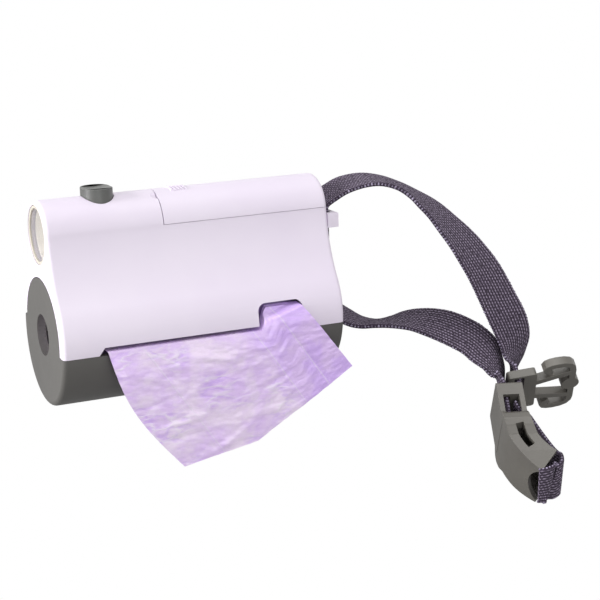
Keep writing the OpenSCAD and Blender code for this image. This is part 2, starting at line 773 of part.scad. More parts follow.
module female_outline() {
    w = buckle_w / 2;
    half = [[neck_l - 2, frame_w / 2 - 0.4], [neck_l + 0.8, w - 0.6], [neck_l + 3, w], [neck_l + 5.5, w - 0.4],
            [neck_l + 8, w - 2], [neck_l + 14, w - 2.2], [neck_l + 26, w - 4]];
    other = [for (i = [len(half) - 1 : -1 : 0]) [half[i][0], -half[i][1]]];
    offset(r = 1, $fn = 24) offset(delta = -1) polygon(concat(half, other));
}

module female_form() {
    t = female_t;
    inner_t = t - 2 * buckle_wall;
    scoop_r = 10.6;
    difference() {
        union() {
            translate([0, 0, -t / 2]) plate(neck_l + 2, frame_w, t, 1);
            intersection() {
                bend(t, -3, bend_a, 2 * buckle_w);
                translate([0, 0, -buckle_w]) linear_extrude(2 * buckle_w) female_outline();
            }
        }
        // slot of the rear block, where the webbing comes in
        translate([-past, -slot_w / 2, strap_t - web_t / 2 - 0.4])
            cube([block_l + 2 * past, slot_w, web_t + 0.8]);
        // pocket behind the block, open at both sides
        translate([block_l, -frame_w / 2 - past, -inner_t / 2])
            cube([neck_l - block_l, frame_w + 2 * past, inner_t]);
        // window through which the loose end comes out again
        translate([block_l + 1.2, -slot_w / 2, -t]) cube([neck_l - block_l - 1.2, slot_w, t]);
        // mouth, side windows for the hooks, and the scooped rim
        bend(inner_t, 6, bend_a + 15, mouth_w);
        bend(inner_t / 2, 12, 32, 2 * buckle_w);
        translate([neck_l, 0, -bend_r]) rotate([0, bend_a, 0])
            translate([scoop_r - scoop_l, 0, bend_r - t]) cylinder(h = 2 * t, r = scoop_r);
    }
}

// One bar of the male half with its hook, on the side s
module male_side(s) {
    bar = [[base_l - 1.2, 3.6], [base_l + 3, 4.5], [base_l + 7, 5.4], [base_l + 11, 6.2]];
    hook = [[cross_x, 0], [cross_x, 4], [cross_x, 7.4], [cross_x - 0.3, 9.2], [cross_x - 1.3, 10.5],
            [cross_x - 3, 11.2], [cross_x - 5.5, 11.4], [cross_x - 7.4, 11.2], [cross_x - 8.7, 10.7],
            [cross_x - 9.2, 9.8], [cross_x - 8.8, 8.9], [cross_x - 7.8, 8.5]];
    translate([0, 0, -male_t / 2]) linear_extrude(male_t) mirror([0, s < 0 ? 1 : 0]) {
        stroke(bar, bar_w);
        stroke(hook, bar_w);
    }
}

module male_form() {
    difference() {
        translate([0, 0, -male_t / 2]) plate(base_l, base_w, male_t, 1);
        translate([2.2, -slot_w / 2, -male_t]) cube([3.2, slot_w, 2 * male_t]);
    }
    for (s = [-1, 1]) male_side(s);
    // guide nose in the middle of the cross-piece
    translate([cross_x - 0.5, 0, -male_t / 2]) cylinder(h = male_t, r = 3);
}

module female_buckle() {
    color(grey) translate(female_at) rotate(female_turn) female_form();
}

module male_buckle() {
    color(grey) translate(male_at) rotate(male_turn) male_form();
}

housing();
bag_door();
hinge_pin();
battery_cover();
torch_button();
button_spring();
switch();
switch_plunger();
switch_board();
led();
lamp_board();
reflector();
lens();
lens_ring();
battery();
contact_plate();
contact_spring();
roll_spindle();
roll_core();
bag_roll();
bag_film();
strap_threading();
strap_upper();
strap_lower();
strap_tail();
male_buckle();
female_buckle();
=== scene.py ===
"""Dog poop bag dispenser: the finishes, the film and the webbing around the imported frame."""

import json
import math

import bmesh
import bpy
import numpy as np
from mathutils import Matrix, Vector
from mathutils import noise

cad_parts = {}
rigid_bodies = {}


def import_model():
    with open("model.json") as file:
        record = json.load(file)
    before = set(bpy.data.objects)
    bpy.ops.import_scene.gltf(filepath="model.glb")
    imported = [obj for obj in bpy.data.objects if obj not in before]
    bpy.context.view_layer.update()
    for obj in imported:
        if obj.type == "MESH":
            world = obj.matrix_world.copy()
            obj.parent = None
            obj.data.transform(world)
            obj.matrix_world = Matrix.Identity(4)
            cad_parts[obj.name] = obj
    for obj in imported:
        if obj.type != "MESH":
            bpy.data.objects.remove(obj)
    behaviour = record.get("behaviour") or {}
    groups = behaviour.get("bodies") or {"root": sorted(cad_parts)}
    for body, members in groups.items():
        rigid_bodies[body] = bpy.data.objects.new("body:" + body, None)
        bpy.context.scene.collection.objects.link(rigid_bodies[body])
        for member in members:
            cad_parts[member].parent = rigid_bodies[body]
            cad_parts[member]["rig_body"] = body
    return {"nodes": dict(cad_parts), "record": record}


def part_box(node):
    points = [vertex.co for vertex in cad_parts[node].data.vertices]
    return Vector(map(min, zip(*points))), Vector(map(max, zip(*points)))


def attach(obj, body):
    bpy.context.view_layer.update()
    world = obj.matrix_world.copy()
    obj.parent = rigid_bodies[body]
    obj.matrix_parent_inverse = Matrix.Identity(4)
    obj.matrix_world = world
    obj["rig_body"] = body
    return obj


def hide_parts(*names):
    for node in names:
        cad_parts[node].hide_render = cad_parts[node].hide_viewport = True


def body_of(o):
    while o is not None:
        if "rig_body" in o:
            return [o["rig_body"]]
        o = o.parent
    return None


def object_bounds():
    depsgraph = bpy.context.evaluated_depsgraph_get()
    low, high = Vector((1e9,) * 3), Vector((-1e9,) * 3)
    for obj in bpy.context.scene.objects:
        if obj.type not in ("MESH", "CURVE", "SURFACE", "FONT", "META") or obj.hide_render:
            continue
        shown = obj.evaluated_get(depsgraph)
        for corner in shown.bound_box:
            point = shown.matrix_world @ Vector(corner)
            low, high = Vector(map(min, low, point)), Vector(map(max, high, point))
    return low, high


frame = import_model()
nodes = frame["nodes"]
cad_low, cad_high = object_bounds()
MM = 0.001

# ---------- places on the barrel ----------

BAG_R = -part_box("bag_door")[0].y  # radius of the bag barrel
ROLL_Z = 1 * MM                   # height of the roll's axis

# ---------- camera, as the photograph was taken ----------

CAMERA_AT = Vector((-0.17126, -0.47881, 0.1242))
CAMERA_AZIMUTH = -23.81
CAMERA_ELEVATION = 13.23
CAMERA_ROLL = -1.87
FOCAL_PX = 1652.1
FRAME_PX = 600
SENSOR_MM = 36


def place_camera():
    """The camera stands at the front left, slightly above, and is rolled a little."""
    azimuth = math.radians(CAMERA_AZIMUTH)
    elevation = math.radians(CAMERA_ELEVATION)
    back = Vector((math.sin(azimuth) * math.cos(elevation),
                   -math.cos(azimuth) * math.cos(elevation),
                   math.sin(elevation)))
    right = Vector((math.cos(azimuth), math.sin(azimuth), 0))
    up = back.cross(right)
    roll = math.radians(CAMERA_ROLL)
    right, up = (right * math.cos(roll) + up * math.sin(roll),
                 up * math.cos(roll) - right * math.sin(roll))
    data = bpy.data.cameras.new("camera")
    data.sensor_fit = "HORIZONTAL"
    data.sensor_width = SENSOR_MM
    data.lens = SENSOR_MM * FOCAL_PX / FRAME_PX
    camera = bpy.data.objects.new("camera", data)
    turn = Matrix((right, up, back)).transposed().to_4x4()
    camera.matrix_world = Matrix.Translation(CAMERA_AT) @ turn
    bpy.context.scene.collection.objects.link(camera)
    bpy.context.scene.camera = camera


# ---------- shader expressions ----------


class Wire:
    """A shader socket that takes part in Python arithmetic by adding Math nodes."""

    def __init__(self, paint, socket):
        self.paint = paint
        self.socket = socket

    def math(self, operation, *values):
        return self.paint.node("Math", {"operation": operation}, dict(enumerate((self, *values))))

    def __add__(self, other):
        return self.math("ADD", other)

    def __radd__(self, other):
        return self.math("ADD", other)

    def __sub__(self, other):
        return self.math("SUBTRACT", other)

    def __rsub__(self, other):
        return self.paint.node("Math", {"operation": "SUBTRACT"}, {0: other, 1: self})

    def __mul__(self, other):
        return self.math("MULTIPLY", other)

    def __rmul__(self, other):
        return self.math("MULTIPLY", other)

    def __pow__(self, other):
        return self.math("POWER", other)

    def abs(self):
        return self.math("ABSOLUTE")

    def fract(self):
        """What is left of it above the whole number below."""
        return self.math("FRACT")

    def floor(self):
        return self.math("FLOOR")

    def clamp(self):
        return self.paint.node("Clamp", {}, {0: self})

    def step(self, low, high):
        """0 below low, 1 above high, smooth between them."""
        return self.paint.node("MapRange", {"interpolation_type": "SMOOTHSTEP"},
                               {"Value": self, "From Min": low, "From Max": high})


class Nodes:
    """The shader nodes of a material or of the world."""

    def __init__(self, tree, output):
        self.tree = tree
        self.tree.nodes.clear()
        self.output = self.tree.nodes.new("ShaderNodeOutput" + output)

    def node(self, kind, settings, inputs, out=0):
        """A node by its type's short name; its settings come first, then its sockets."""
        made = self.tree.nodes.new("ShaderNode" + kind)
        for key, value in settings.items():
            setattr(made, key, value)
        for key, value in inputs.items():
            if isinstance(value, Wire):
                self.tree.links.new(value.socket, made.inputs[key])
            else:
                made.inputs[key].default_value = value
        return Wire(self, made.outputs[out])

    def show(self, surface):
        self.tree.links.new(surface.socket, self.output.inputs["Surface"])

    def ray(self, kind):
        return self.node("LightPath", {}, {}, "Is " + kind + " Ray")


class Paint(Nodes):
    """One material with a Principled shader."""

    def __init__(self, name):
        self.material = bpy.data.materials.new(name)
        self.material.use_nodes = True
        super().__init__(self.material.node_tree, "Material")
        self.shader = self.tree.nodes.new("ShaderNodeBsdfPrincipled")
        self.show(self.principled())

    def set(self, **values):
        """Sockets of the Principled shader; an underscore in a name is a space."""
        for key, value in values.items():
            socket = self.shader.inputs[key.replace("_", " ")]
            if isinstance(value, Wire):
                self.tree.links.new(value.socket, socket)
            elif isinstance(value, tuple) and len(value) == 3:
                socket.default_value = (*value, 1)
            else:
                socket.default_value = value

    def principled(self):
        return Wire(self, self.shader.outputs[0])

    def place(self):
        return self.node("TexCoord", {}, {}, "Object")

    def axis(self, vector, name):
        return self.node("SeparateXYZ", {}, {0: vector}, name)

    def noise(self, vector, scale, detail=2.0, roughness=0.5):
        return self.node("TexNoise", {}, {"Vector": vector, "Scale": scale, "Detail": detail,
                                          "Roughness": roughness})

    def mix(self, factor, first, second):
        """Colour between first and second; both are colours or wires."""
        colours = {6: first, 7: second}
        inputs = {key: (*value, 1) if isinstance(value, tuple) else value
                  for key, value in colours.items()}
        return self.node("Mix", {"data_type": "RGBA"}, {0: factor, **inputs}, 2)

    def bump(self, height, strength, distance):
        return self.node("Bump", {}, {"Height": height, "Strength": strength, "Distance": distance})


def srgb(red, green, blue):
    """Linear colour of an 8-bit screen colour."""
    return tuple(((c / 255 + 0.055) / 1.055) ** 2.4 if c > 10 else c / 255 / 12.92
                 for c in (red, green, blue))


# ---------- finishes ----------

FOLD_SLANT = 0.667                # how far a fold of the bag runs to the right for its drop
FILM_FOLDS = (-22.5, 13.5, 24.8)  # where the straight folds lie, in mm across their run


def moulded(name, colour, shade, roughness, grain=900, depth=0.02, spec=0.5):
    """Injection-moulded plastic: fine spark-eroded grain, slow colour drift, rubbed patches."""
    paint = Paint(name)
    place = paint.place()
    drift = paint.noise(place, 28, 3)
    speck = paint.noise(place, grain, 2)
    rub = paint.noise(place, 160, 4, 0.6)
    paint.set(Base_Color=paint.mix(drift.step(0.3, 0.7), colour, shade),
              Roughness=roughness + (rub - 0.5) * 0.14,
              Normal=paint.bump(speck + rub * 0.4, 0.12, depth * MM),
              Specular_IOR_Level=spec)
    return paint.material


def metal(name, colour, roughness):
    """Drawn or stamped metal with fine lines along its length."""
    paint = Paint(name)
    lines = paint.noise(paint.node("Mapping", {}, {0: paint.place(), 3: (0.1, 1, 1)}), 1500, 2)
    paint.set(Base_Color=paint.mix(lines, colour, tuple(c * 0.8 for c in colour)),
              Metallic=1.0, Roughness=roughness + lines * 0.15)
    return paint.material


def window_glass():
    """Clear cast plastic with a little haze."""
    paint = Paint("window")
    haze = paint.noise(paint.place(), 300, 3)
    paint.set(Base_Color=srgb(240, 240, 238), Roughness=haze * 0.08 + 0.04, Alpha=haze * 0.05 + 0.16)
    paint.material.surface_render_method = "BLENDED"
    return paint.material


def film_finish():
    """Thin lilac polythene: crushed and pale to the left, smooth with straight folds to the right;
    painted shade in its wrinkles' valleys, painted highlight on their crests.
    """
    paint = Paint("bag_film")
    place = paint.place()
    across = (paint.axis(place, "X") + paint.axis(place, "Z") * FOLD_SLANT) * (1 / MM)
    smooth = across.step(8, 15)
    drawn = paint.node("Mapping", {}, {0: place, 3: (0.5, 1, 1.2)})
    cloud = paint.noise(place, 95, 3, 0.6)
    crush = (1 - smooth * 0.85) * (paint.noise(place, 75, 2).step(0.42, 0.62) * 0.8 + 0.2)
    crest = (1 - (paint.noise(drawn, 230, 2, 0.5) * 2 - 1).abs() * 8).clamp() * crush
    valley = (1 - (paint.noise(drawn, 170, 3, 0.5) * 2 - 0.96).abs() * 9).clamp() * crush
    fine = paint.noise(drawn, 900, 3)
    folds = sum(1 - (across - spot).abs().step(0.1, 0.4) for spot in FILM_FOLDS)
    crushed = paint.mix(cloud.step(0.35, 0.65), srgb(248, 230, 255), srgb(234, 206, 254))
    flat = paint.mix(cloud.step(0.4, 0.6), srgb(232, 204, 254), srgb(220, 188, 253))
    tone = paint.mix(smooth, crushed, flat)
    # Painted shade: the wrinkles' valleys turn a deeper purple.
    tone = paint.mix(valley * 0.4, tone, srgb(196, 152, 248))
    # Painted highlight: the wrinkles' crests turn near white.
    tone = paint.mix(crest * 0.6, tone, srgb(250, 244, 253))
    tone = paint.mix(folds * 0.4, tone, srgb(242, 232, 252))
    height = crest * 0.5 - valley * 0.5 + cloud * 0.8 + fine * 0.1 + folds * 0.3
    paint.set(Base_Color=tone, Roughness=fine * 0.15 + 0.2, Alpha=cloud * 0.04 + 0.95,
              Normal=paint.bump(height, 0.28, 0.3 * MM))
    glow = paint.node("BsdfTranslucent", {}, {"Color": (*srgb(214, 186, 244), 1)})
    paint.show(paint.node("MixShader", {}, {0: 0.06, 1: paint.principled(), 2: glow}))
    return paint.material


def webbing_finish():
    """Ribbed webbing: light picks between dark warp ribs, by the piece's own UV in ribs and picks."""
    paint = Paint("webbing")
    uv = paint.node("UVMap", {"uv_map": "weave"}, {})
    across = paint.axis(uv, "X")
    along = paint.axis(uv, "Y")
    rib = across.fract()
    half_step = (across.floor() * 0.5).fract()
    pick = (along + half_step).fract()
    rib_top = 1 - (rib - 0.5).abs() * 2
    pick_top = 1 - (pick - 0.5).abs() * 2
    height = rib_top.step(0, 0.9) * (pick_top.step(0, 0.8) * 0.6 + 0.4)
    speck = paint.noise(uv, 1.3, 2)
    along_rib = pick_top.step(0.3, 0.8) * 0.7 + 0.3
    light = (along_rib * rib_top.step(0.3, 0.8) * speck.step(0.3, 0.55)).clamp()
    dark = paint.mix(paint.noise(uv, 0.35, 2), srgb(44, 36, 48), srgb(62, 52, 68))
    colour = paint.mix(light * 0.8, dark, srgb(176, 162, 186))
    paint.set(Base_Color=colour, Roughness=0.78 - light * 0.25, Specular_IOR_Level=0.2,
              Normal=paint.bump(height, 0.9, 0.18 * MM), Sheen_Weight=0.08, Sheen_Roughness=0.4)
    return paint.material


def selvedge_finish():
    """The thicker threads at the webbing's edges: each bead its own shade."""
    paint = Paint("selvedge")
    speck = paint.noise(paint.place(), 900, 2)
    paint.set(Base_Color=paint.mix(speck.step(0.35, 0.65), srgb(82, 72, 92), srgb(158, 148, 172)),
              Roughness=0.5 + speck * 0.2)
    return paint.material


TURNS_PER_M = 3500  # of film, outwards from the roll's axis


def roll_finish():
    """End of the bag roll: fine turns of film round the tube."""
    paint = Paint("roll")
    place = paint.place()
    y = paint.axis(place, "Y")
    z = paint.axis(place, "Z") - ROLL_Z
    radius = (y * y + z * z) ** 0.5
    turn = (radius * TURNS_PER_M).fract()
    paint.set(Base_Color=paint.mix(turn, srgb(190, 160, 224), srgb(222, 204, 240)),
              Roughness=0.35 + turn * 0.2, Normal=paint.bump(turn, 0.5, 0.1 * MM))
    return paint.material


def board_finish():
    """Green solder mask with the paler tracks under it."""
    paint = Paint("circuit_board")
    track = paint.noise(paint.place(), 600, 1).step(0.5, 0.54)
    paint.set(Base_Color=paint.mix(track, srgb(20, 84, 44), srgb(36, 118, 66)),
              Roughness=0.35 + track * 0.2)
    return paint.material


BAND_L = 13.5 * MM  # of the cell's bright band, with the nub


def sleeve_finish():
    """Battery sleeve: a dark shrink film with a bright band at the nub end."""
    paint = Paint("battery_sleeve")
    x = paint.axis(paint.place(), "X")
    band_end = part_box("battery")[0].x + BAND_L
    band = 1 - x.step(band_end, band_end + 0.2 * MM)
    drift = paint.noise(paint.place(), 90, 2)
    paint.set(Base_Color=paint.mix(band, srgb(34, 42, 54), srgb(178, 128, 70)),
              Roughness=0.28 + drift * 0.1, Metallic=band * 0.6)
    return paint.material


FINISH = {
    "lilac_shell": moulded("lilac_shell", srgb(232, 223, 237), srgb(228, 218, 234), 0.46),
    "grey_shell": moulded("grey_shell", srgb(86, 84, 81), srgb(79, 77, 75), 0.42, 700, 0.03, 0.85),
    "grey_button": moulded("grey_button", srgb(98, 99, 96), srgb(91, 92, 90), 0.38),
    "grey_buckle": moulded("grey_buckle", srgb(100, 97, 91), srgb(90, 87, 82), 0.36, 800, 0.03),
    "black_plastic": moulded("black_plastic", srgb(34, 34, 36), srgb(28, 28, 30), 0.5),
    "red_plastic": moulded("red_plastic", srgb(168, 44, 34), srgb(150, 36, 28), 0.45),
    "pale_plastic": moulded("pale_plastic", srgb(222, 212, 224), srgb(214, 204, 216), 0.5),
    "card": moulded("card", srgb(196, 184, 168), srgb(184, 170, 152), 0.8, 500, 0.06),
    "reflector": moulded("reflector", srgb(214, 206, 198), srgb(226, 220, 214), 0.22, 400, 0.01, 0.8),
    "pale_ring": moulded("pale_ring", srgb(206, 200, 188), srgb(198, 192, 180), 0.4),
    "lamp": moulded("lamp", srgb(238, 224, 150), srgb(232, 214, 130), 0.2),
    "steel": metal("steel", (0.62, 0.62, 0.64), 0.28),
    "window": window_glass(),
    "bag_film": film_finish(),
    "webbing": webbing_finish(),
    "circuit_board": board_finish(),
    "battery_sleeve": sleeve_finish(),
}
SELVEDGE = selvedge_finish()
ROLL = roll_finish()

# ---------- meshes ----------

SHARP = 32            # degrees between two faces from which their edge is sharp and is eased
SHARP_SOFT = 60       # the same for webbing and film
MERGE = 0.002 * MM    # corners closer than this are one
FLAT = 0.5            # degrees between two faces below which they are one
SUB_STEPS = 16        # points between two given points of a curve, before they are spread


def new_piece(name, mesh, body, slot, material=None):
    """A piece at the origin that rides on a body and takes its finish from a slot."""
    piece = bpy.data.objects.new(name, mesh)
    bpy.context.scene.collection.objects.link(piece)
    mesh.materials.append(material or FINISH[slot])
    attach(piece, body)
    return piece


def settle(piece):
    """Applies every modifier of a piece and leaves a plain mesh."""
    graph = bpy.context.evaluated_depsgraph_get()
    mesh = bpy.data.meshes.new_from_object(piece.evaluated_get(graph))
    piece.modifiers.clear()
    piece.data = mesh


def smooth_by_angle(mesh, degrees):
    for face in mesh.polygons:
        face.use_smooth = True
    mesh.set_sharp_from_angle(angle=math.radians(degrees))


def rework(mesh, change):
    """Runs a change, such as merge or face_outwards, on a mesh."""
    work = bmesh.new()
    work.from_mesh(mesh)
    change(work)
    work.to_mesh(mesh)
    work.free()


def merge(work):
    """Joins corners that coincide and faces that lie in one plane."""
    bmesh.ops.remove_doubles(work, verts=work.verts, dist=MERGE)
    bmesh.ops.dissolve_limit(work, angle_limit=math.radians(FLAT), verts=work.verts, edges=work.edges)


def face_outwards(work):
    bmesh.ops.recalc_face_normals(work, faces=work.faces)


def dressed(node, bevel):
    """A merged copy of a CAD node, with eased edges and even shading; it stands for the node."""
    mesh = nodes[node].data.copy()
    mesh.materials.clear()
    rework(mesh, merge)
    slot = next(part["material_slot"] for part in frame["record"]["subparts"] if part["node"] == node)
    body = body_of(nodes[node])[0]
    piece = new_piece(node + "_skin", mesh, body, slot)
    smooth_by_angle(mesh, SHARP)
    ease = piece.modifiers.new("ease", "BEVEL")
    ease.width = bevel * MM
    ease.segments = 2
    ease.limit_method = "ANGLE"
    ease.angle_limit = math.radians(SHARP)
    ease.use_clamp_overlap = True
    even = piece.modifiers.new("even", "WEIGHTED_NORMAL")
    even.keep_sharp = True
    settle(piece)
    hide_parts(node)
    return piece


def curve_through(points, steps):
    """Points of a smooth curve through the given ones, evenly spread, and its length."""
    points = [np.array(p, float) for p in points]
    points = [2 * points[0] - points[1]] + points + [2 * points[-1] - points[-2]]
    dense = []
    for a, b, c, d in zip(points, points[1:], points[2:], points[3:]):
        for i in range(SUB_STEPS):
            t = i / SUB_STEPS
            dense.append(0.5 * (2 * b + (c - a) * t + (2 * a - 5 * b + 4 * c - d) * t ** 2
                                + (3 * b - a - 3 * c + d) * t ** 3))
    dense.append(points[-2])
    dense = np.array(dense)
    run = np.concatenate([[0], np.cumsum(np.linalg.norm(np.diff(dense[:, :3], axis=0), axis=1))])
    even = np.linspace(0, run[-1], steps)
    return np.array([np.interp(even, run, dense[:, k]) for k in range(dense.shape[1])]).T, run[-1]


# ---------- webbing ----------

WEB_W = 15 * MM
WEB_T = 1.4 * MM
RIBS = 13
RIB_STEPS = 4                            # points across one rib
GROOVE = 0.78                            # share of the thickness that is left between two ribs
ROUNDING = 0.6                           # power that flattens the ribs' tops
EDGE = 0.4                               # share of the thickness at the very edge
PICK = 1.1 * MM                          # pitch of the weft
RINGS = 7                                # for every point of a route
FEWEST_RINGS = 24
BEAD = (0.42 * MM, 0.56 * MM, 0.42 * MM)
BEAD_IN = 0.25 * MM                      # of a bead's middle from the webbing's edge
BEAD_VARIES = (0.82, 1.12)
BEAD_SEED = 7

# Middle of the webbing and its width direction, in metres. The stretches run as the frame's do. Only
# the lower one turns more evenly near the buckle, and the tail's last points make its folded end.
THREADING_ROUTE = [(0.0471, 0, 0.0308, 0, 1, 0), (0.0471, 0, 0.0252, 0, 1, 0)]
UPPER_ROUTE = [
    (0.0471, 0, 0.031, 0, 1, 0), (0.0471, 0, 0.0319, 0, 1, 0),
    (0.0481, 0, 0.0332, 0.05, 1, 0.05), (0.0515, -0.0005, 0.0354, 0.2, 0.95, 0.15),
    (0.056, -0.0018, 0.0378, 0.25, 0.95, 0.15), (0.062, -0.0034, 0.039, 0.36, 0.93, 0.1),
    (0.0675, -0.0052, 0.0386, 0.45, 0.89, 0), (0.0727, -0.0076, 0.0367, 0.5, 0.87, -0.06),
    (0.077, -0.0098, 0.0338, 0.56, 0.82, -0.04), (0.08, -0.0118, 0.0311, 0.64, 0.77, 0.02),
    (0.0832, -0.0139, 0.0278, 0.7, 0.7, 0.06), (0.0863, -0.0163, 0.0236, 0.77, 0.62, 0.1),
    (0.0893, -0.0185, 0.0194, 0.83, 0.54, 0.14), (0.092, -0.0204, 0.015, 0.87, 0.45, 0.16),
    (0.0962, -0.0228, 0.0074, 0.93, 0.32, 0.14), (0.1005, -0.0252, -0.0028, 0.96, 0.24, 0.13),
    (0.1032, -0.0262, -0.009, 0.97, 0.22, 0.1), (0.105, -0.0265, -0.0146, 0.94, 0.34, 0.02),
    (0.105, -0.0262, -0.0192, 0.82, 0.5, -0.2), (0.1042, -0.0264, -0.0228, 0.55, 0.58, -0.55),
    (0.1033, -0.0276, -0.0256, 0.27, 0.57, -0.77), (0.1027, -0.03, -0.028, 0.27, 0.57, -0.77),
    (0.1021, -0.033, -0.0306, 0.27, 0.57, -0.77),
]
LOWER_ROUTE = [
    (0.0471, 0, 0.025, 0, 1, 0), (0.0471, 0, 0.018, 0, 1, 0),
    (0.0472, 0, 0.011, 0, 1, 0), (0.0478, 0, 0.0046, 0.05, 1, 0),
    (0.0496, -0.0006, -0.0004, 0.2, 0.97, 0.1), (0.0524, -0.0016, -0.0036, 0.36, 0.92, 0.16),
    (0.0562, -0.003, -0.0062, 0.44, 0.89, 0.08), (0.06, -0.0048, -0.0079, 0.45, 0.89, -0.04),
    (0.064, -0.007, -0.0083, 0.47, 0.87, -0.12), (0.0682, -0.0092, -0.0079, 0.44, 0.89, -0.05),
    (0.072, -0.0112, -0.0074, 0.43, 0.9, 0.1), (0.0758, -0.0132, -0.0075, 0.48, 0.84, 0.24),
    (0.0796, -0.0156, -0.0082, 0.56, 0.74, 0.36), (0.0834, -0.0183, -0.0094, 0.62, 0.65, 0.44),
    (0.087, -0.0213, -0.0112, 0.7, 0.57, 0.44), (0.0904, -0.0244, -0.0136, 0.78, 0.5, 0.38),
    (0.093, -0.0272, -0.0168, 0.83, 0.47, 0.3), (0.095, -0.029, -0.0202, 0.8, 0.57, 0),
    (0.0962, -0.0299, -0.0234, 0.7, 0.6, -0.2), (0.0963, -0.0309, -0.0265, 0.55, 0.6, -0.45),
    (0.0955, -0.033, -0.0285, 0.38, 0.6, -0.66), (0.0945, -0.0354, -0.0304, 0.22, 0.57, -0.79),
    (0.0935, -0.0381, -0.0326, 0.22, 0.57, -0.79), (0.0912, -0.044, -0.0376, 0.22, 0.57, -0.79),
]
TAIL_ROUTE = [
    (0.0948, -0.0421, -0.0352, 0.22, 0.57, -0.79), (0.0948, -0.0436, -0.0363, 0.22, 0.57, -0.79),
    (0.0955, -0.0452, -0.0373, 0.22, 0.57, -0.79), (0.0965, -0.0473, -0.0385, 0.22, 0.57, -0.79),
    (0.0968, -0.0495, -0.04, 0.22, 0.57, -0.79), (0.0972, -0.0526, -0.0422, 0.22, 0.57, -0.79),
    (0.0977, -0.0562, -0.0446, 0.22, 0.57, -0.79), (0.0983, -0.059, -0.0465, 0.22, 0.57, -0.79),
    (0.099, -0.0613, -0.048, 0.2, 0.5, -0.85), (0.0989, -0.0632, -0.0488, 0.17, 0.36, -0.92),
    (0.0978, -0.0648, -0.0498, 0.17, 0.42, -0.89), (0.0958, -0.0651, -0.0507, 0.17, 0.42, -0.89),
    (0.0945, -0.0648, -0.0507, 0.17, 0.42, -0.89), (0.0932, -0.0655, -0.0508, 0.17, 0.42, -0.89),
    (0.0914, -0.0657, -0.0509, 0.17, 0.42, -0.89), (0.0899, -0.0652, -0.051, 0.17, 0.42, -0.89),
]


def rib_profile():
    """Half-thickness across the webbing: rounded ribs, thinner at the very edge."""
    across = np.linspace(-0.5, 0.5, RIBS * RIB_STEPS + 1)
    wave = np.abs(np.sin(np.pi * (across + 0.5) * RIBS))
    half = WEB_T / 2 * (GROOVE + (1 - GROOVE) * wave ** ROUNDING)
    half[0] = half[-1] = WEB_T / 2 * EDGE
    return across * WEB_W, half


def followed(line):
    """Each point of a line with the line's run there and the width direction square to it."""
    last = len(line) - 1
    for i, q in enumerate(line):
        run = Vector(line[min(i + 1, last)][:3] - line[max(i - 1, 0)][:3]).normalized()
        lean = Vector(q[3:])
        yield Vector(q[:3]), run, (lean - run * lean.dot(run)).normalized()


def ribbon(name, route):
    """Ribbed webbing along a route, as one closed tube with a weave UV in ribs and picks."""
    steps = max(FEWEST_RINGS, len(route) * RINGS)
    line, length = curve_through(route, steps)
    across, half = rib_profile()
    count = len(across)
    points = []
    for place, run, side in followed(line):
        up = run.cross(side)
        points += [place + side * s + up * h for s, h in zip(across, half)]
        points += [place + side * s - up * h for s, h in zip(across[::-1], half[::-1])]
    ring = 2 * count
    faces = []
    for start in range(0, (steps - 1) * ring, ring):
        for k in range(ring):
            after = (k + 1) % ring
            faces.append((start + k, start + after, start + ring + after, start + ring + k))
    faces += [tuple(range(ring))[::-1], tuple((steps - 1) * ring + k for k in range(ring))]
    mesh = bpy.data.meshes.new(name)
    mesh.from_pydata(points, [], faces)
    weave = mesh.uv_layers.new(name="weave")
    for face in mesh.polygons:
        for loop in face.loop_indices:
            i, k = divmod(mesh.loops[loop].vertex_index, ring)
            spot = k if k < count else ring - 1 - k
            weave.data[loop].uv = (spot / RIB_STEPS, i / (steps - 1) * length / PICK)
    rework(mesh, face_outwards)
    smooth_by_angle(mesh, SHARP_SOFT)
    return new_piece(name, mesh, "body", "webbing"), line, length


def bead_tree():
    """Geometry Nodes: a flattened bead at every pitch along a line, turned to the line's run."""
    tree = bpy.data.node_groups.new("beads", "GeometryNodeTree")
    face = tree.interface
    face.new_socket("Geometry", in_out="INPUT", socket_type="NodeSocketGeometry")
    sizes = {}
    for name, kind in (("Pitch", "Float"), ("Bead", "Vector"), ("Seed", "Int"), ("Finish", "Material")):
        sizes[name] = face.new_socket(name, in_out="INPUT", socket_type="NodeSocket" + kind).identifier
    face.new_socket("Geometry", in_out="OUTPUT", socket_type="NodeSocketGeometry")

    def add(kind, **links):
        """A node; each socket takes a value, or a node and the name of its output."""
        made = tree.nodes.new(kind)
        for socket, source in links.items():
            target = made.inputs[socket.replace("_", " ")]
            if isinstance(source, tuple):
                tree.links.new(source[0].outputs[source[1]], target)
            else:
                target.default_value = source
        return made

    start = add("NodeGroupInput")
    line = add("GeometryNodeMeshToCurve", Mesh=(start, "Geometry"))
    spots = add("GeometryNodeCurveToPoints")
    spots.mode = "LENGTH"
    tree.links.new(line.outputs[0], spots.inputs["Curve"])
    tree.links.new(start.outputs["Pitch"], spots.inputs["Length"])
    ball = add("GeometryNodeMeshUVSphere", Segments=8, Rings=5, Radius=1.0)
    vary = add("FunctionNodeRandomValue", Seed=(start, "Seed"))
    for socket, value in zip(vary.inputs[2:4], BEAD_VARIES):  # the sockets Min and Max for a float
        socket.default_value = value
    size = tree.nodes.new("ShaderNodeVectorMath")
    size.operation = "SCALE"
    tree.links.new(start.outputs["Bead"], size.inputs[0])
    tree.links.new(vary.outputs[1], size.inputs["Scale"])
    beads = add("GeometryNodeInstanceOnPoints", Points=(spots, "Points"), Instance=(ball, "Mesh"),
                Rotation=(spots, "Rotation"), Scale=(size, "Vector"))
    real = add("GeometryNodeRealizeInstances", Geometry=(beads, "Instances"))
    round_ = add("GeometryNodeSetShadeSmooth", Geometry=(real, "Geometry"))
    coat = add("GeometryNodeSetMaterial", Geometry=(round_, "Geometry"), Material=(start, "Finish"))
    end = tree.nodes.new("NodeGroupOutput")
    tree.links.new(coat.outputs[0], end.inputs[0])
    return tree, sizes


BEADS, BEAD_INPUTS = bead_tree()


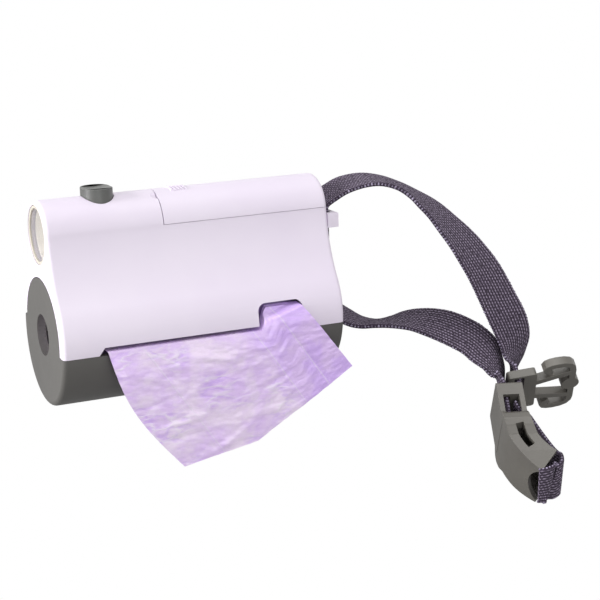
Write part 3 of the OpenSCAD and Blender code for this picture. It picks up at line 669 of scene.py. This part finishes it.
def selvedge(name, line):
    """Beaded edges of a webbing: one mesh along both edges of its line."""
    points = []
    edges = []
    for side in (-1, 1):
        first = len(points)
        for place, _, across in followed(line):
            points.append(place + across * side * (WEB_W / 2 - BEAD_IN))
        edges += [(k, k + 1) for k in range(first, len(points) - 1)]
    mesh = bpy.data.meshes.new(name)
    mesh.from_pydata(points, edges, [])
    piece = new_piece(name, mesh, "body", "webbing", SELVEDGE)
    grow = piece.modifiers.new("beads", "NODES")
    grow.node_group = BEADS
    for key, value in (("Pitch", PICK), ("Bead", BEAD), ("Seed", BEAD_SEED), ("Finish", SELVEDGE)):
        grow[BEAD_INPUTS[key]] = value
    settle(piece)
    return piece


def strap():
    """The three free stretches with their edges, and the stretch under the bridge."""
    made = {}
    edges = {}
    for name, route in (("strap_upper", UPPER_ROUTE), ("strap_lower", LOWER_ROUTE),
                        ("strap_tail", TAIL_ROUTE)):
        made[name] = ribbon(name + "_web", route)
        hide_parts(name)
        edges[name] = selvedge(name + "_edges", made[name][1])
    piece = ribbon("strap_threading_web", THREADING_ROUTE)[0]
    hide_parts("strap_threading")
    return made, edges


# ---------- bag film ----------

FILM_Y = -BAG_R - 0.8 * MM
FILM_T = 0.08 * MM
SLOT_Z = -1.3 * MM
SLOT_LEFT = -32.4 * MM
SLOT_RIGHT = 31 * MM
WINDOW_LEFT = 17.2 * MM
WINDOW_SIDE = 3 * MM              # the window's left side rises over this width
WINDOW_RISE = 6.4 * MM
TUCK = 3.4 * MM                   # how far the film goes back into the thumb window
TUCK_FROM = (17, 0.6)             # x and z in mm of the slanted fold's left end there
TUCK_SLANT = 0.3
TUCK_BAND = 1.6                   # in mm, of the fold's rounding
LEFT_BOW = 4 * MM                 # of the sheet's left edge
STAND_OUT = 0.3 * MM              # of the sheet where it leaves the slot
BULGE = 1.1                       # in mm, of the hanging sheet beyond that
FREE_FROM = 0.2                   # share of the drop from which the sheet hangs free
FARTHEST_IN = 0.1 * MM            # of its creases, so that they clear the barrel
IN_RUN = 4.2 * MM                 # of the sheet into the slot
IN_RISE = 0.4 * MM
LOW_BREAK = 0.4                   # share of the width at which the lower edge turns
FILM_LOW_LEFT = Vector((-0.0106, -0.0403))
FILM_LOW_MID = Vector((0.0143, -0.036))
FILM_LOW_RIGHT = Vector((0.0474, -0.0166))
FILM_ACROSS = 128
FILM_DOWN = 96
FILM_IN = 10                      # rows that lie inside the slot

# Waves of the sheet: how many across it and down it, where their noise is taken, height in mm
WAVES = ((5.5, 1.8, 0.3, 0.5), (14, 12, 4.1, 0.3), (30, 34, 8.2, 0.14))

# Creases of the sheet: from (x, z) to (x, z) in mm, height in mm, half-width in mm
CREASES = [
    (-14, -12, 0, -34, 0.3, 0.7), (14, -1, 30, -25, 0.45, 0.8), (23, 2, 39, -20, -0.4, 0.7),
    (26, -5, 21, -12, 0.25, 0.6), (-24, -10, -14, -13, 0.35, 0.8), (-22, -20, -8, -17, -0.3, 0.8),
    (-16, -27, -2, -25, 0.35, 0.7), (-14, -31, -4, -30, -0.3, 0.7), (-8, -6, 8, -9, 0.35, 0.8),
    (4, -4, 14, -8, -0.3, 0.7), (2, -36, 12, -30, 0.4, 0.9), (16, -20, 24, -16, -0.35, 0.9),
    (8, -28, 22, -27, 0.3, 1.0), (-4, -38, 8, -34, 0.3, 0.9), (-30, -4, -24, -16, 0.3, 0.9),
]


def kept(share):
    """The share, kept between 0 and 1."""
    return min(1, max(0, share))


def eased(share):
    """The share with a smooth start and end."""
    return share * share * (3 - 2 * share)


def crease_height(x, z):
    """How far the film stands out at (x, z), from the creases near it; all in mm.

    A crease is highest at its middle and falls off to both sides over twice its half-width.
    """
    height = 0
    for x_a, z_a, x_b, z_b, rise, half in CREASES:
        run_x, run_z = x_b - x_a, z_b - z_a
        share = kept(((x - x_a) * run_x + (z - z_a) * run_z) / (run_x ** 2 + run_z ** 2))
        away = math.hypot(x - x_a - share * run_x, z - z_a - share * run_z)
        height += rise * math.sin(math.pi * (0.15 + 0.7 * share)) * max(0, 1 - away / half / 2)
    return height


def tucked(x, z):
    """How far the film goes back into the thumb window above the slanted fold across it."""
    if x < WINDOW_LEFT:
        return 0
    above = z / MM - TUCK_FROM[1] - (x / MM - TUCK_FROM[0]) * TUCK_SLANT
    return TUCK * eased(kept(above / TUCK_BAND))


def film_point(s, j):
    """The sheet's point at share s of its width in row j; rows below 0 lie inside the slot."""
    x = SLOT_LEFT + (SLOT_RIGHT - SLOT_LEFT) * s
    rise = kept((x - WINDOW_LEFT) / WINDOW_SIDE)
    top = Vector((x, SLOT_Z + WINDOW_RISE * eased(rise)))
    if j < 0:
        depth = -j / FILM_IN
        y = FILM_Y + STAND_OUT + IN_RUN * depth + (1 - depth) * tucked(top.x, top.y)
        return top.x, y, top.y + IN_RISE * rise * depth
    t = j / FILM_DOWN
    if s < LOW_BREAK:
        low = FILM_LOW_LEFT.lerp(FILM_LOW_MID, s / LOW_BREAK)
    else:
        low = FILM_LOW_MID.lerp(FILM_LOW_RIGHT, (s - LOW_BREAK) / (1 - LOW_BREAK))
    flat = top.lerp(low, t)
    flat.x -= LEFT_BOW * math.sin(math.pi * t) * (1 - s) ** 2
    fold = crease_height(flat.x / MM, flat.y / MM)
    for across, down, start, height in WAVES:
        fold += noise.noise(Vector((s * across, t * down, start))) * height
    y = FILM_Y - STAND_OUT - (BULGE + fold) * kept(t / FREE_FROM) * MM
    return flat.x, min(y, FILM_Y + FARTHEST_IN) + tucked(flat.x, flat.y), flat.y


def film():
    """The hanging bag: one sheet out of the slot and thumb window, skewed and creased."""
    points = [film_point(i / FILM_ACROSS, j)
              for j in range(-FILM_IN, FILM_DOWN + 1) for i in range(FILM_ACROSS + 1)]
    row = FILM_ACROSS + 1
    faces = [(j * row + i, j * row + i + 1, (j + 1) * row + i + 1, (j + 1) * row + i)
             for j in range(FILM_IN + FILM_DOWN) for i in range(FILM_ACROSS)]
    mesh = bpy.data.meshes.new("film")
    mesh.from_pydata(points, [], faces)
    rework(mesh, face_outwards)
    piece = new_piece("film_sheet", mesh, "body", "bag_film")
    wall = piece.modifiers.new("wall", "SOLIDIFY")
    wall.thickness = FILM_T
    wall.offset = 0
    settle(piece)
    smooth_by_angle(piece.data, SHARP_SOFT)
    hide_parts("bag_film")


# ---------- light and floor ----------

FLOOR_GAP = 40 * MM
FLOOR_HALF = 20.0
FLOOR_GREY = (0.3, 0.3, 0.3)
SKY = 0.42                        # strength of the even light from all round
WHITE = (1, 1, 1, 1)
AIM = Vector((0.02, 0, 0))
LAMPS = (                         # name, place, side in metres, watts
    ("key", (-1.0, 0.1, 0.25), 0.5, 14),
    ("top", (0.0, -0.2, 1.0), 0.8, 4.4),
    ("fill", (0.6, -0.9, 0.35), 0.8, 1.9),
    ("front", (-0.1, -1.0, 0.02), 0.6, 3.6),
)


def backdrop():
    """A floor that is plain white to the camera and throws a little light up."""
    level = cad_low.z - FLOOR_GAP
    corners = [(x * FLOOR_HALF, y * FLOOR_HALF, level) for x, y in ((-1, -1), (1, -1), (1, 1), (-1, 1))]
    mesh = bpy.data.meshes.new("floor")
    mesh.from_pydata(corners, [], [(0, 1, 2, 3)])
    floor = bpy.data.objects.new("floor", mesh)
    bpy.context.scene.collection.objects.link(floor)
    paint = Paint("floor")
    paint.set(Base_Color=FLOOR_GREY, Roughness=0.9)
    white = paint.node("Emission", {}, {})
    paint.show(paint.node("MixShader", {}, {0: paint.ray("Camera"), 1: paint.principled(), 2: white}))
    mesh.materials.append(paint.material)


def lamp(name, place, size, power):
    data = bpy.data.lights.new(name, "AREA")
    data.size = size
    data.energy = power
    light = bpy.data.objects.new(name, data)
    light.location = place
    light.rotation_euler = (AIM - Vector(place)).to_track_quat("-Z", "Y").to_euler()
    bpy.context.scene.collection.objects.link(light)


def light():
    """Four lamps and an even sky, which the camera and reflections see as white."""
    world = bpy.data.worlds.new("studio")
    bpy.context.scene.world = world
    world.use_nodes = True
    sky = Nodes(world.node_tree, "World")
    even = sky.node("Background", {}, {"Color": WHITE, "Strength": SKY})
    white = sky.node("Background", {}, {"Color": WHITE})
    seen = sky.node("Math", {"operation": "MAXIMUM"}, {0: sky.ray("Camera"), 1: sky.ray("Glossy")})
    sky.show(sky.node("MixShader", {}, {0: seen, 1: even, 2: white}))
    for name, place, size, power in LAMPS:
        lamp(name, place, size, power)


# ---------- everything ----------

place_camera()
straps, edging = strap()
film()

# Nodes that are dressed, with the width in mm of the ease on their edges
EASES = {
    "hinge_pin": 0.1, "torch_button": 0.3, "switch": 0.15, "switch_plunger": 0.1,
    "switch_board": 0.05, "lamp_board": 0.05, "lens_ring": 0.08, "battery": 0.4,
    "contact_plate": 0.05, "roll_spindle": 0.3, "roll_core": 0.1, "bag_roll": 0.2,
    "battery_cover": 0.15, "housing": 0.15, "bag_door": 0.15, "male_buckle": 0.4,
    "female_buckle": 0.4, "reflector": 0.05, "lens": 0.1, "led": 0.05,
    "contact_spring": 0.02, "button_spring": 0.02,
}
skins = {node: dressed(node, ease) for node, ease in EASES.items()}
skins["bag_roll"].data.materials[0] = ROLL

upper, upper_line, upper_length = straps["strap_upper"]
lower, lower_line, lower_length = straps["strap_lower"]


def every_fourth(line):
    """Every fourth place of a line, and its last."""
    return [tuple(q[:3]) for q in line[::4]] + [tuple(line[-1][:3])]


every_fourth(upper_line)
every_fourth(lower_line)
light()
backdrop()
bpy.context.scene.view_settings.view_transform = "Standard"
